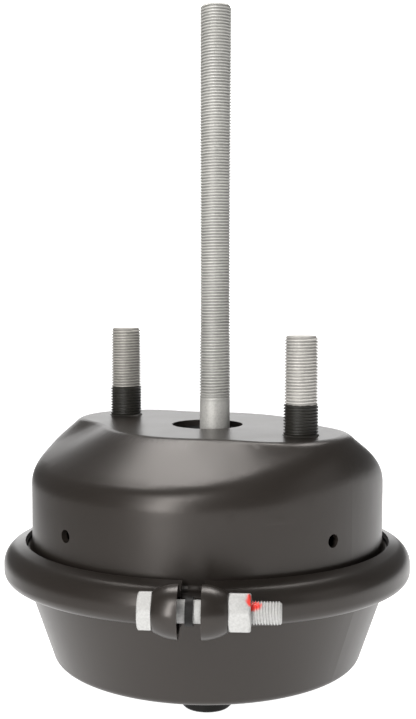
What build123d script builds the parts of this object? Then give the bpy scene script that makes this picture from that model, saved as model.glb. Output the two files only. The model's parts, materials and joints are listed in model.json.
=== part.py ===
from build123d import *
from math import acos, atan2, cos, degrees, hypot, pi, radians, sin, sqrt, tan
import os

# Air brake chamber of the single-diaphragm kind, stood on its port plug with the push rod upright.
# Millimetres. The origin is the middle of the mounting face, +Z runs along the push rod and +X
# points at one mounting stud. Heights below are Z in this frame, radii are about the chamber axis.

# Driving dimensions of the mounting
stud_spacing = 120.65
stud_radius = 8.0
stud_neck_radius = 8.5
stud_height = 48.3
stud_head_radius = 13.0
stud_head_height = 5.0
thread_chamfer = 1.4
rod_hole_radius = 18.4

# Driving dimensions of the push rod and its plate
rod_radius = 8.0
rod_shank_radius = 7.8
rod_thread_start = 12.0
rod_top = 213.8
rod_float_x = 2.85
rod_float_y = 2.5
stroke = 64.0
tenon_radius = 6.0
collar_radius = 22.0
collar_height = 4.0
plate_wall_gap = 6.7
plate_rim_radius = 8.0
plate_rim_height = 14.0

# Driving dimensions of the pressed housings
sheet = 3.0
stud_to_wall = 30.4
waist_radius = 54.0
stud_to_lobe_centre = 13.0
lobe_radius = 33.8
hollow_radius = 60.0
drop_at_studs = 10.8
drop_at_waist = 21.5
top_edge_round = 7.5
shoulder_round_at_studs = 28.0
shoulder_round_at_waist = 11.5
shoulder_end = -34.0
drain_radius = 3.2
drain_below_shoulder = 11.0
drain_angles = (-95.8, -8.7, 84.2, 171.3)
bend_round = 2.0
flange_width = 7.0
bowl_flange_width = 3.3
bowl_taper = 18.7
dish_radius = 280.0
dish_bottom = -130.72
dish_corner_round = 4.5
port_land_width = 5.0

# Driving dimensions of the clamp band and its bolt
flange_in_band = 3.5
band_centre_height = -68.6
band_depth = 10.85
band_top_lip = 10.5
band_top_web = 4.36
band_low_web = 5.95
band_low_lip = 9.0
band_low_lip_set_in = 1.6
band_corner_round = 5.0
band_sheet = 2.2
gap_angle = -52.2
gap_half = 5.1
ear_end = 16.2
ear_radius_at_gap = 11.9
ear_radius_at_end = 8.6
bolt_outside_band = 18.5
bolt_rise = 3.5
bolt_radius = 5.0
bolt_tip_length = 13.1
hex_across_flats = 16.0
bolt_head_height = 6.1
nut_height = 9.5
retainer_wall = 1.2
retainer_start = -2.1
retainer_end = 1.3

# Driving dimensions of the seals, seats, spring and port
flange_half_stack = 6.4
diaphragm_sheet = 3.2
diaphragm_clearance = 1.0
diaphragm_below_corner = 1.8
stud_plate_thickness = 4.0
stud_plate_margin = 8.0
shield_cover = 7.1
shield_play = 4.7
shield_thickness = 2.0
seat_sheet = 1.5
seat_pocket_depth = 2.4
seat_rim_width = 8.3
seat_opening_gap = 8.2
spring_wire_radius = 2.75
spring_seat_gap = 0.55
spring_rim_gap = 8.25
spring_turns = 6
spring_steps_per_turn = 16
spring_wire_sides = 10
flat_turns = 0.75
ease_turns = 0.5
boss_radius = 12.0
boss_height = 10.8
boss_shoulder = 2.0
port_thread_radius = 7.25
plug_overhang = 1.15
plug_head_height = 7.0
plug_seal_thickness = 1.6
plug_seal_margin = 0.4
plug_key_radius = 4.6
plug_key_depth = 4.5

# Clearances of pieces that slide in or around each other
running_fit = 0.05
loose_fit = 0.3

# Sizes worked out from the driving ones
stud_x = stud_spacing / 2
stud_plate_bottom = -sheet - stud_plate_thickness
lobe_centre = stud_x - stud_to_lobe_centre
wall_radius = stud_x + stud_to_wall
inner_wall = wall_radius - sheet
drain_height = shoulder_end - drain_below_shoulder
flange_radius = wall_radius + flange_width
flange_top = band_centre_height + flange_half_stack
flange_bottom = band_centre_height - flange_half_stack
bead_top = flange_top - sheet
bead_bottom = flange_bottom + sheet
bead_radius = flange_radius - 2 * loose_fit
band_centre_radius = flange_radius - flange_in_band
bolt_reach = band_centre_radius + bolt_outside_band
bolt_height = band_centre_height + bolt_rise
bolt_length = 2 * ear_end + nut_height + bolt_tip_length
retainer_radius = bolt_radius + retainer_wall
cone_run = tan(radians(bowl_taper))
cone_sheet = sheet / cos(radians(bowl_taper))
dish_centre = dish_bottom + dish_radius
port_land_radius = boss_radius + port_land_width
port_land = dish_centre - sqrt(dish_radius ** 2 - port_land_radius ** 2)
boss_bottom = port_land - boss_height
plug_top = boss_bottom - plug_seal_thickness
plug_bottom = plug_top - plug_head_height
rod_place = (rod_float_x, rod_float_y)
shield_radius = rod_hole_radius + shield_cover
seat_pocket_radius = shield_radius + shield_play
seat_wall_radius = seat_pocket_radius + seat_sheet
seat_bottom = stud_plate_bottom - seat_sheet
spring_top_radius = seat_wall_radius + spring_seat_gap + spring_wire_radius


def cone_radius(height):
    """Outer radius of the bowl's tapered wall."""
    return flange_radius - bowl_flange_width + (height - flange_bottom) * cone_run


def dish_height(radius, inset):
    """Height of the dished bottom at a radius, on the outer face or inset from it."""
    return dish_centre - sqrt((dish_radius - inset) ** 2 - radius ** 2)


def wall_meets_dish(inset):
    """Where the tapered wall meets the dished bottom, on the outer face or inset from it."""
    run = cone_run
    base = cone_radius(0.0) - inset / cos(radians(bowl_taper))
    reach = dish_radius - inset
    a = 1 + run ** 2
    b = 2 * (run * base - dish_centre)
    c = base ** 2 + dish_centre ** 2 - reach ** 2
    height = (-b - sqrt(b * b - 4 * a * c)) / (2 * a)
    return (base + run * height, height)


diaphragm_floor = wall_meets_dish(sheet)[1] - diaphragm_below_corner
diaphragm_top = diaphragm_floor + diaphragm_sheet
diaphragm_gap = cone_sheet + diaphragm_clearance
diaphragm_inner_gap = diaphragm_gap + diaphragm_sheet / cos(radians(bowl_taper))
plate_top = diaphragm_top + sheet
plate_radius = cone_radius(diaphragm_top) - diaphragm_inner_gap - plate_wall_gap
spring_bottom_radius = plate_radius - sheet - spring_rim_gap - spring_wire_radius


def turned(outline_points, rounds=()):
    """A solid of revolution from (radius, height) points; rounds lists (point number, radius)."""
    face = make_face(Polyline(*outline_points, close=True))
    for number, radius in rounds:
        corner = Vector(*outline_points[number])
        vertex = face.vertices().sort_by_distance(corner)[0]
        face = fillet(vertex, radius)
    return revolve(Plane.XZ * face, Axis.Z)


def disc(radius, bottom, top, place=(0, 0)):
    """A round bar between two heights."""
    return Pos(place[0], place[1], (bottom + top) / 2) * Cylinder(radius, top - bottom)


def washer(outer, inner, bottom, top, place=(0, 0)):
    """A flat ring between two heights."""
    return disc(outer, bottom, top, place) - disc(inner, bottom - 1, top + 1, place)


def plateau_radius(angle):
    """Polar radius of the raised top: a lobe round each stud, a round waist, a hollow arc between."""
    folded = abs(atan2(sin(angle), cos(angle)))
    folded = min(folded, pi - folded)
    waist_reach = waist_radius + hollow_radius
    lobe_reach = lobe_radius + hollow_radius
    hollow_x = (waist_reach ** 2 + lobe_centre ** 2 - lobe_reach ** 2) / (2 * lobe_centre)
    hollow_y = sqrt(waist_reach ** 2 - hollow_x ** 2)
    tangent_x = lobe_centre + (hollow_x - lobe_centre) * lobe_radius / lobe_reach
    tangent_y = hollow_y * lobe_radius / lobe_reach
    if folded < atan2(tangent_y, tangent_x):
        return lobe_centre * cos(folded) + sqrt(lobe_radius ** 2 - (lobe_centre * sin(folded)) ** 2)
    if folded < atan2(hollow_y, hollow_x):
        along = hollow_x * cos(folded) + hollow_y * sin(folded)
        return along - sqrt(hollow_radius ** 2 - waist_reach ** 2 + along ** 2)
    return waist_radius


def crown_radius(angle, height, inset):
    """Radius of the crown at one height: flat top, rounded edge, straight scoop, round shoulder.

    The scoop is deep with a tight shoulder at the waist, shallow with a soft one at the studs.
    The same section serves both faces of the sheet: inset moves it inwards by that much.
    """
    plateau = plateau_radius(angle)
    stud_share = cos(angle) ** 4
    drop = drop_at_waist + (drop_at_studs - drop_at_waist) * stud_share
    slope = atan2(drop, wall_radius - plateau)
    edge_round = top_edge_round - inset
    foot_round = shoulder_round_at_waist - inset
    foot_round += (shoulder_round_at_studs - shoulder_round_at_waist) * stud_share
    edge = plateau - inset * tan(slope / 2)
    wall = wall_radius - inset
    foot = -drop - inset * tan((pi / 2 - slope) / 2)
    edge_tangent = edge_round * tan(slope / 2)
    foot_tangent = foot_round * tan((pi / 2 - slope) / 2)
    depth = height + inset
    if depth > -edge_tangent * sin(slope):
        return edge - edge_tangent + sqrt(max(0.0, edge_round ** 2 - (depth + edge_round) ** 2))
    if height > foot + foot_tangent * sin(slope):
        return edge - depth / tan(slope)
    if height > foot - foot_tangent:
        below = height - (foot - foot_tangent)
        return wall - foot_round + sqrt(foot_round ** 2 - below ** 2)
    return wall


def crown(inset):
    """The crown as a solid: closed curves at a run of heights, closer together near the top edge."""
    levels = 19
    around = 60
    shares = [step / around for step in range(around + 1)]
    curves = []
    for level in range(levels - 1):
        share = level / (levels - 1)
        height = -inset + (shoulder_end + inset) * share ** 1.7
        points = []
        for step in range(around):
            angle = 2 * pi * step / around
            radius = crown_radius(angle, height, inset)
            points.append((radius * cos(angle), radius * sin(angle), height))
        curves.append(Wire([Edge.make_spline(points, periodic=True, parameters=shares)]))
    curves.append(Wire([Edge.make_circle(wall_radius - inset, Plane.XY.offset(shoulder_end))]))
    return Solid.make_loft(curves)


def non_pressure_housing():
    """The upper shell: twin-lobed crown over the studs, round wall and outward flange."""
    skirt = turned(
        [
            (wall_radius, shoulder_end),
            (wall_radius, flange_top),
            (flange_radius, flange_top),
            (flange_radius, bead_top),
            (inner_wall, bead_top),
            (inner_wall, shoulder_end),
        ],
        [(1, bend_round), (2, 1.5), (4, bend_round + sheet)],
    )
    shell = crown(0.0) - crown(sheet) + skirt
    shell -= disc(rod_hole_radius, -sheet - 1, 1)
    for side in (-1, 1):
        shell -= disc(stud_neck_radius + running_fit, -sheet - 1, 1, (side * stud_x, 0))
    for angle in drain_angles:
        drill = Plane(origin=(0, 0, drain_height), z_dir=(cos(radians(angle)), sin(radians(angle)), 0))
        shell -= drill * Pos(0, 0, wall_radius) * Cylinder(drain_radius, 4 * sheet)
    return shell


def pressure_housing():
    """The lower shell: flange, tapered wall, tight corner, dished bottom with a flat port land."""
    outer_corner = wall_meets_dish(0.0)
    inner_corner = wall_meets_dish(sheet)
    inner_land = sqrt((dish_radius - sheet) ** 2 - (dish_centre - port_land - sheet) ** 2)
    middle = (outer_corner[0] + port_land_radius) / 2
    inner_middle = (inner_corner[0] + inner_land) / 2
    outer_arc = ThreePointArc(
        outer_corner, (middle, dish_height(middle, 0.0)), (port_land_radius, port_land)
    )
    inner_arc = ThreePointArc(
        (inner_land, port_land + sheet), (inner_middle, dish_height(inner_middle, sheet)), inner_corner
    )
    rim_out = (flange_radius, bead_bottom)
    rim_low = (flange_radius, flange_bottom)
    neck = (cone_radius(flange_bottom), flange_bottom)
    mouth = (cone_radius(bead_bottom) - cone_sheet, bead_bottom)
    hole = boss_radius - boss_shoulder + running_fit
    face = make_face(
        [
            Line(rim_out, rim_low),
            Line(rim_low, neck),
            Line(neck, outer_corner),
            outer_arc,
            Line((port_land_radius, port_land), (hole, port_land)),
            Line((hole, port_land), (hole, port_land + sheet)),
            Line((hole, port_land + sheet), (inner_land, port_land + sheet)),
            inner_arc,
            Line(inner_corner, mouth),
            Line(mouth, rim_out),
        ]
    )
    rounds = [
        (rim_low, 1.5),
        (neck, bend_round),
        (outer_corner, dish_corner_round),
        (inner_corner, dish_corner_round - sheet),
        (mouth, bend_round + sheet),
    ]
    for corner, radius in rounds:
        vertex = face.vertices().sort_by_distance(Vector(*corner))[0]
        face = fillet(vertex, radius)
    return revolve(Plane.XZ * face, Axis.Z)


def diaphragm():
    """The rubber cup: a thick bead held between the flanges, lying down in the bowl at rest."""
    points = [
        (bead_radius, bead_top),
        (bead_radius, bead_bottom),
        (cone_radius(bead_bottom) - diaphragm_gap, bead_bottom),
        (cone_radius(diaphragm_floor) - diaphragm_gap, diaphragm_floor),
        (0, diaphragm_floor),
        (0, diaphragm_top),
        (cone_radius(diaphragm_top) - diaphragm_inner_gap, diaphragm_top),
        (cone_radius(bead_top) - diaphragm_inner_gap, bead_top),
    ]
    rounds = [(2, bend_round + sheet + diaphragm_clearance), (3, 12.0), (6, 9.0), (7, 2.0)]
    return turned(points, rounds)


def tangent_frame(along):
    """A frame on the clamp bolt's line: X outwards, Y up, Z along the bolt, at a distance along it."""
    out = Vector(cos(radians(gap_angle)), sin(radians(gap_angle)), 0)
    travel = Vector(-sin(radians(gap_angle)), cos(radians(gap_angle)), 0)
    place = out * bolt_reach + travel * along + Vector(0, 0, bolt_height)
    return Plane(origin=place, x_dir=out, z_dir=travel)


def ear_section(radius, along):
    """Section of an ear: round about the bolt on the outside, straight back into the band."""
    back = bolt_reach - band_centre_radius
    shape = Circle(radius) + Pos(-back / 2, 0) * Rectangle(back, 2 * radius)
    return tangent_frame(along) * shape


def ear_radius(along):
    """Outer radius of an ear about the bolt, at a distance from the middle of the gap."""
    share = (along - gap_half) / (ear_end - gap_half)
    return ear_radius_at_gap + (ear_radius_at_end - ear_radius_at_gap) * share ** 2


def ear(side):
    """One bell-shaped, hollow ear: open at the gap, closed by a wall under the bolt head or nut."""
    sections = 4
    start = gap_half - 1.0
    outside = []
    inside = []
    for section in range(sections):
        share = section / (sections - 1)
        along = start + (ear_end - start) * share
        outside.append(ear_section(ear_radius(along), side * along))
        along = start + (ear_end - band_sheet - start) * share
        inside.append(ear_section(ear_radius(along) - band_sheet, side * along))
    return loft(outside), loft(inside)


def band_section(inset):
    """Corners of the band's profile from lip to lip, on the outer face or inset from it."""
    top_slope = atan2(band_top_lip - band_top_web, band_depth)
    low_slope = atan2(band_low_lip - band_low_web, band_depth - band_low_lip_set_in)
    web_radius = band_centre_radius + band_depth - inset
    low_radius = band_centre_radius + band_low_lip_set_in
    top_lip = band_top_lip - inset / cos(top_slope)
    top_web = band_top_web - inset * tan((pi / 2 - top_slope) / 2)
    low_web = band_low_web - inset * tan((pi / 2 - low_slope) / 2)
    low_lip = band_low_lip - inset / cos(low_slope)
    return [
        (band_centre_radius, band_centre_height + top_lip),
        (web_radius, band_centre_height + top_web),
        (web_radius, band_centre_height - low_web),
        (low_radius, band_centre_height - low_lip),
    ]


def clamp_band():
    """The rolled band: a channel with sloping legs round both flanges, split once, with two ears."""
    above = band_centre_height + 2 * band_top_lip
    below = band_centre_height - 2 * band_top_lip
    outer = band_section(0.0)
    inner = band_section(band_sheet)
    filled = outer + [(wall_radius, outer[3][1]), (wall_radius, outer[0][1])]
    room = inner + [
        outer[3],
        (outer[3][0], below),
        (0, below),
        (0, above),
        (outer[0][0], above),
    ]
    room_round = band_corner_round - band_sheet
    band = turned(filled, [(1, band_corner_round), (2, band_corner_round)])
    hollows = []
    for side in (-1, 1):
        outside, inside = ear(side)
        band += outside
        hollows.append(inside)
    band -= turned(room, [(1, room_round), (2, room_round)])
    for hollow in hollows:
        band -= hollow
    band -= tangent_frame(0) * Box(4 * band_top_lip, 4 * band_top_lip, 2 * gap_half)
    return band - tangent_frame(0) * Cylinder(bolt_radius + loose_fit, 4 * ear_end)


def hexagon(along_start, along_end, chamfered_start, chamfered_end):
    """A hexagon bar on the bolt's line with one corner outwards and its ends chamfered."""
    height = along_end - along_start
    bar = extrude(RegularPolygon(hex_across_flats / 2, 6, major_radius=False, rotation=0), height)
    trim = Pos(0, 0, height / 2) * Cylinder(hex_across_flats / sqrt(3) + 0.01, height)
    ends = []
    if chamfered_start:
        ends.append(trim.edges().group_by(Axis.Z)[0])
    if chamfered_end:
        ends.append(trim.edges().group_by(Axis.Z)[-1])
    for edges in ends:
        trim = chamfer(edges, 0.7, 1.2)
    return tangent_frame(along_start) * (bar & trim)


def clamp_bolt():
    """Hexagon bolt through both ears."""
    shank = Pos(0, 0, bolt_length / 2) * Cylinder(bolt_radius, bolt_length)
    shank = chamfer(shank.edges().group_by(Axis.Z)[-1], 1.0)
    return hexagon(-ear_end - bolt_head_height, -ear_end, True, False) + tangent_frame(-ear_end) * shank


def clamp_nut():
    """Hexagon nut on the other ear."""
    bore = tangent_frame(ear_end + nut_height / 2) * Cylinder(bolt_radius + running_fit, 2 * nut_height)
    return hexagon(ear_end, ear_end + nut_height, True, True) - bore


def bolt_retainer():
    """Black ring pushed onto the shank between the ears, so the bolt can't drop out."""
    width = retainer_end - retainer_start
    middle = (retainer_end + retainer_start) / 2
    ring = Cylinder(retainer_radius, width) - Cylinder(bolt_radius + running_fit, 2 * width)
    return tangent_frame(middle) * ring


def mounting_stud(side):
    """One stud: head under the stiffening plate, pressed neck up to the face, threaded shank above."""
    shank = disc(stud_radius, 0, stud_height)
    shank = chamfer(shank.edges().group_by(Axis.Z)[-1], thread_chamfer)
    shank += disc(stud_neck_radius, stud_plate_bottom, 0)
    head = disc(stud_head_radius, stud_plate_bottom - stud_head_height, stud_plate_bottom)
    head = chamfer(head.edges().group_by(Axis.Z)[0], 1.0)
    return Pos(side * stud_x, 0, 0) * (shank + head)


def stud_plate():
    """Stiffening plate inside the crown that joins both studs and carries their load."""
    outline = Circle(waist_radius - stud_plate_margin)
    for side in (-1, 1):
        outline += Pos(side * lobe_centre, 0) * Circle(lobe_radius - stud_plate_margin)
    outline = fillet(outline.vertices(), 12.0)
    outline -= Circle(rod_hole_radius + 1.0)
    for side in (-1, 1):
        outline -= Pos(side * stud_x, 0) * Circle(stud_neck_radius + running_fit)
    return Pos(0, 0, stud_plate_bottom) * extrude(outline, stud_plate_thickness)


def rod_dust_shield():
    """Floating washer round the rod that closes the big hole from inside."""
    top = stud_plate_bottom - 0.15
    return washer(shield_radius, rod_shank_radius + loose_fit, top - shield_thickness, top, rod_place)


def spring_seat():
    """Pressed ring: a pocket for the dust shield, and the rim that centres the spring's top coil."""
    floor = stud_plate_bottom - seat_pocket_depth
    rim = seat_wall_radius + seat_rim_width
    opening = rod_shank_radius + seat_opening_gap
    return turned(
        [
            (seat_pocket_radius, stud_plate_bottom),
            (rim, stud_plate_bottom),
            (rim, seat_bottom),
            (seat_wall_radius, seat_bottom),
            (seat_wall_radius, floor - seat_sheet),
            (opening, floor - seat_sheet),
            (opening, floor),
            (seat_pocket_radius, floor),
        ]
    )


def coil_rise(turns):
    """Share of the spring's height reached after a number of turns, easing out of the flat ends."""
    active = spring_turns - 2 * flat_turns
    along = min(active, max(0.0, turns - flat_turns))
    if along < ease_turns:
        risen = along ** 2 / (2 * ease_turns)
    elif along < active - ease_turns:
        risen = along - ease_turns / 2
    else:
        risen = active - ease_turns - (active - along) ** 2 / (2 * ease_turns)
    return risen / (active - ease_turns)


def spring_centre(turns):
    """A point on the middle of the spring's wire, and the outward direction there."""
    top = seat_bottom - spring_wire_radius - running_fit
    bottom = plate_top + spring_wire_radius + running_fit
    rise = coil_rise(turns)
    radius = spring_bottom_radius + (spring_top_radius - spring_bottom_radius) * rise
    outward = Vector(cos(2 * pi * turns), sin(2 * pi * turns), 0)
    axis_point = Vector(rod_float_x * (1 - rise), rod_float_y * (1 - rise), bottom + (top - bottom) * rise)
    return axis_point + outward * radius, outward


def return_spring():
    """Conical wire spring: small end on the seat, large end on the plate, each end a flat turn.

    The wire is drawn with flat sides between its sections.
    """
    steps = spring_steps_per_turn * spring_turns
    sections = []
    for step in range(steps + 1):
        turns = step / spring_steps_per_turn
        centre, outward = spring_centre(turns)
        ahead = (spring_centre(turns + 0.01)[0] - spring_centre(turns - 0.01)[0]).normalized()
        across = ahead.cross(outward).normalized()
        points = []
        for side in range(spring_wire_sides):
            angle = 2 * pi * side / spring_wire_sides
            points.append(centre + (outward * cos(angle) + across * sin(angle)) * spring_wire_radius)
        sections.append(Wire.make_polygon(points, close=True))
    return Solid.make_loft(sections, ruled=True)


def push_plate():
    """Pressed plate that the diaphragm pushes, flat in the middle with a turned-up rim."""
    rim_top = diaphragm_top + plate_rim_height
    plate = turned(
        [
            (tenon_radius + running_fit, diaphragm_top),
            (plate_radius, diaphragm_top),
            (plate_radius, rim_top),
            (plate_radius - sheet, rim_top),
            (plate_radius - sheet, plate_top),
            (tenon_radius + running_fit, plate_top),
        ],
        [(1, plate_rim_radius), (4, plate_rim_radius - sheet), (2, 1.2), (3, 1.2)],
    )
    return Pos(rod_float_x, rod_float_y, 0) * plate


def push_rod():
    """Threaded rod on a plain shank; its lower end is a tenon riveted through the plate."""
    thread = disc(rod_radius, rod_thread_start, rod_top, rod_place)
    thread = chamfer(thread.edges().group_by(Axis.Z)[-1], thread_chamfer)
    shank = disc(rod_shank_radius, plate_top, rod_thread_start, rod_place)
    return thread + shank + disc(tenon_radius, diaphragm_top, plate_top, rod_place)


def rod_collar():
    """Thick washer that stiffens the plate round the foot of the rod."""
    collar = disc(collar_radius, plate_top, plate_top + collar_height, rod_place)
    collar = chamfer(collar.edges().group_by(Axis.Z)[-1], 1.2)
    bore = rod_shank_radius + running_fit
    return collar - disc(bore, plate_top - 1, plate_top + collar_height + 1, rod_place)


def port_boss():
    """Threaded boss under the bowl with a spigot up through its bottom."""
    body = disc(boss_radius, boss_bottom, port_land)
    body = chamfer(body.edges().group_by(Axis.Z)[0], 1.0)
    body += disc(boss_radius - boss_shoulder, port_land, port_land + sheet)
    return body - disc(port_thread_radius, boss_bottom - 1, port_land + sheet + 1)


def port_plug():
    """Black plug in the port, with a flat head that the chamber stands on and a hexagon key hole."""
    head = disc(boss_radius + plug_overhang, plug_bottom, plug_top)
    head = chamfer(head.edges().group_by(Axis.Z)[0], 0.8)
    shank = disc(port_thread_radius - running_fit, plug_top, port_land)
    key = Pos(0, 0, plug_bottom) * extrude(RegularPolygon(plug_key_radius, 6), plug_key_depth)
    return head + shank - key


def port_plug_seal():
    """Flat sealing ring between the plug's head and the boss."""
    bore = port_thread_radius + plug_seal_margin
    return washer(boss_radius - plug_seal_margin, bore, plug_top, boss_bottom)


pieces = {
    "non_pressure_housing": non_pressure_housing,
    "pressure_housing": pressure_housing,
    "diaphragm": diaphragm,
    "clamp_band": clamp_band,
    "clamp_bolt": clamp_bolt,
    "clamp_nut": clamp_nut,
    "bolt_retainer": bolt_retainer,
    "mounting_stud_left": lambda: mounting_stud(-1),
    "mounting_stud_right": lambda: mounting_stud(1),
    "stud_plate": stud_plate,
    "rod_dust_shield": rod_dust_shield,
    "spring_seat": spring_seat,
    "return_spring": return_spring,
    "push_plate": push_plate,
    "push_rod": push_rod,
    "rod_collar": rod_collar,
    "port_boss": port_boss,
    "port_plug": port_plug,
    "port_plug_seal": port_plug_seal,
}

os.makedirs("parts", exist_ok=True)
for name, make in pieces.items():
    piece = make()
    export_step(piece, f"parts/{name}.step")
    print(name, round(piece.volume), "mm3")
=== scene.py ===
# %% [markdown]
# An air brake chamber, dressed for its picture
#
# The chamber stands on its port plug with the push rod upright. A model of solid bodies already
# gives every part its place and its movement. This lesson adds what those solids leave out: the
# rolled threads, the wound spring, the rubber cup, the rolled clamp band, the finishes, a studio
# and a camera. Everything is in metres. The origin is the middle of the mounting face, and Z runs
# along the rod.

# %% The frame and the tools
import json
import math

import bmesh
import bpy
import numpy as np
from mathutils import Matrix, Vector


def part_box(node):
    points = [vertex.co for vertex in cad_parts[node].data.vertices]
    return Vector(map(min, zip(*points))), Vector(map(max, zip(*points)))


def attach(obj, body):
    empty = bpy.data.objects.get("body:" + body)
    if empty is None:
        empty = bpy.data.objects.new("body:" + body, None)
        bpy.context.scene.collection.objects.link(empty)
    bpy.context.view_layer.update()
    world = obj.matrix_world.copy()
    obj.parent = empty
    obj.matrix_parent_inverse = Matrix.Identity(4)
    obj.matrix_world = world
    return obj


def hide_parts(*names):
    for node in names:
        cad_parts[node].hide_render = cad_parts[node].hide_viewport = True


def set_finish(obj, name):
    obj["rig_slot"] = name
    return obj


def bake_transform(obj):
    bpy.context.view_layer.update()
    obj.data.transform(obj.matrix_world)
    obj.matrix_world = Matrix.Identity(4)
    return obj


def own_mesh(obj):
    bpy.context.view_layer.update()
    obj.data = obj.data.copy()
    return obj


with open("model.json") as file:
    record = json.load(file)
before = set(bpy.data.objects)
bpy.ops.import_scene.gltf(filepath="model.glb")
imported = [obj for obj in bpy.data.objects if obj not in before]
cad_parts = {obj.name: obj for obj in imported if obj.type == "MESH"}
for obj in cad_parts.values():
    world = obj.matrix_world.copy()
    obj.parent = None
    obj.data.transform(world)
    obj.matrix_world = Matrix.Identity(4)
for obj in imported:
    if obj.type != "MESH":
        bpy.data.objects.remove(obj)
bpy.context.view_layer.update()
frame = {"nodes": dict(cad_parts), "record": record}
nodes = frame["nodes"]

# %% [markdown]
# Sizes come from the solids where they can. Each solid's box gives the place and the reach of
# its piece, and only what a box can't tell, such as a thread's pitch, is written here.

# %% Sizes from the frame
MM = 0.001


def middle_and_reach(node):
    """Middle of a solid's box, and half its size along each axis."""
    low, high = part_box(node)
    return (low + high) / 2, (high - low) / 2


rod_middle, rod_half = middle_and_reach("push_rod")
rod_x, rod_y, rod_radius = rod_middle.x, rod_middle.y, rod_half.x
rod_top = rod_middle.z + rod_half.z
rod_bottom = rod_middle.z - rod_half.z
stud_low, stud_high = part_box("mounting_stud_right")
stud_x = (stud_low.x + stud_high.x) / 2
stud_radius = rod_radius
floor_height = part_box("port_plug")[0].z
thread_pitch = 1.5 * MM
thread_depth = 0.78 * MM
thread_chamfer = 1.1 * MM
rod_thread_start = 12.0 * MM
rod_shank_radius = 7.8 * MM
print("rod", round(rod_top / MM, 1), "mm high, studs", round(2 * stud_x / MM, 2), "mm apart")

# %% [markdown]
# Two helpers make every new piece. The first joins rows of points into a mesh with faces
# that are worked out as whole arrays. The second makes the mesh, merges points that coincide,
# drops faces with no area and turns all faces outwards, so that seams and poles are closed.
# Further helpers stack parts into one mesh, round a profile's corners and turn it about Z.

# %% Mesh helpers


def grid_faces(rows, columns, wrap_rows=False, wrap_columns=False, first=0):
    """Four corners of each cell of a grid: (r, c), (r, c+1), (r+1, c+1), (r+1, c), with wrapping."""
    r = np.arange(rows if wrap_rows else rows - 1)[:, None]
    c = np.arange(columns if wrap_columns else columns - 1)[None, :]
    r2, c2 = (r + 1) % rows, (c + 1) % columns
    corners = [r * columns + c, r * columns + c2, r2 * columns + c2, r2 * columns + c]
    return first + np.stack([k + 0 * r + 0 * c for k in corners], axis=-1).reshape(-1, 4)


def piece_from(name, points, faces, values=None, sharp=40.0):
    """A mesh object from arrays of points and quads, closed up, smooth except at sharp edges."""
    mesh = bpy.data.meshes.new(name)
    mesh.from_pydata(np.asarray(points, float).reshape(-1, 3), [], np.asarray(faces).tolist())
    for title, numbers in (values or {}).items():
        layer = mesh.attributes.new(title, "FLOAT", "POINT")
        layer.data.foreach_set("value", np.asarray(numbers, np.float32).ravel())
    work = bmesh.new()
    work.from_mesh(mesh)
    bmesh.ops.remove_doubles(work, verts=work.verts, dist=1e-6)
    bmesh.ops.dissolve_degenerate(work, edges=work.edges, dist=1e-7)
    bmesh.ops.recalc_face_normals(work, faces=work.faces)
    work.to_mesh(mesh)
    work.free()
    mesh.shade_smooth()
    mesh.set_sharp_from_angle(angle=math.radians(sharp))
    made = bpy.data.objects.new(name, mesh)
    bpy.context.scene.collection.objects.link(made)
    print(name, len(mesh.polygons), "faces")
    return made


def stacked(*parts):
    """Several (points, faces) pairs as one pair."""
    points, faces, first = [], [], 0
    for part_points, part_faces in parts:
        part_points = np.asarray(part_points, float).reshape(-1, 3)
        points.append(part_points)
        faces.append(np.asarray(part_faces) + first)
        first += len(part_points)
    return np.concatenate(points), np.concatenate(faces)


def rounded(profile, rounds, steps=8):
    """A profile whose named corners become arcs.

    The arc of radius r starts and ends r / tan(half the corner's angle) from the corner, and each
    of its points turns by an equal share about the arc's centre.
    """
    made = []
    for number, corner in enumerate(np.asarray(profile, float)):
        if number not in rounds:
            made.append(corner[None])
            continue
        before = np.asarray(profile[number - 1], float) - corner
        after = np.asarray(profile[number + 1], float) - corner
        before /= np.linalg.norm(before)
        after /= np.linalg.norm(after)
        half = math.acos(float(np.clip(before @ after, -1, 1))) / 2
        centre = corner + (before + after) / np.linalg.norm(before + after) * rounds[number] / math.sin(half)
        start = corner + before * rounds[number] / math.tan(half) - centre
        end = corner + after * rounds[number] / math.tan(half) - centre
        turn = math.atan2(start[0] * end[1] - start[1] * end[0], float(start @ end))
        share = np.linspace(0, turn, steps)[:, None]
        across = np.array([-start[1], start[0]])
        made.append(centre + np.cos(share) * start + np.sin(share) * across)
    return np.concatenate(made)


def turned(profile, around=64):
    """Surface of revolution about Z: each (radius, height) becomes a ring of equal angles."""
    profile = np.asarray(profile, float)
    angle = np.linspace(0, 2 * np.pi, around, endpoint=False)
    rings = profile[:, None, 0]
    points = np.stack(
        [rings * np.cos(angle), rings * np.sin(angle), profile[:, None, 1] + 0 * angle], axis=-1
    )
    return points, grid_faces(len(profile), around, wrap_columns=True)


# %% [markdown]
# A rolled thread is a ridge that climbs round the bar. It could be a Screw modifier or a bump
# picture, but a bump has a smooth outline, and the outline of the rod is where a thread shows
# most. So the profile of one turn is carried along the helix as an array: each step round the
# bar holds four points of the profile, and the last one of a turn meets the first one of the
# turn above.

# %% Thread surface
bar_sides = 48
turn_shares = np.array([0.0, 0.28, 0.50, 0.78])
turn_cuts = np.array([0.0, 0.0, 1.0, 1.0])
coat_edge = 0.4 * MM
fillet_height = 1.4 * MM


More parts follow.
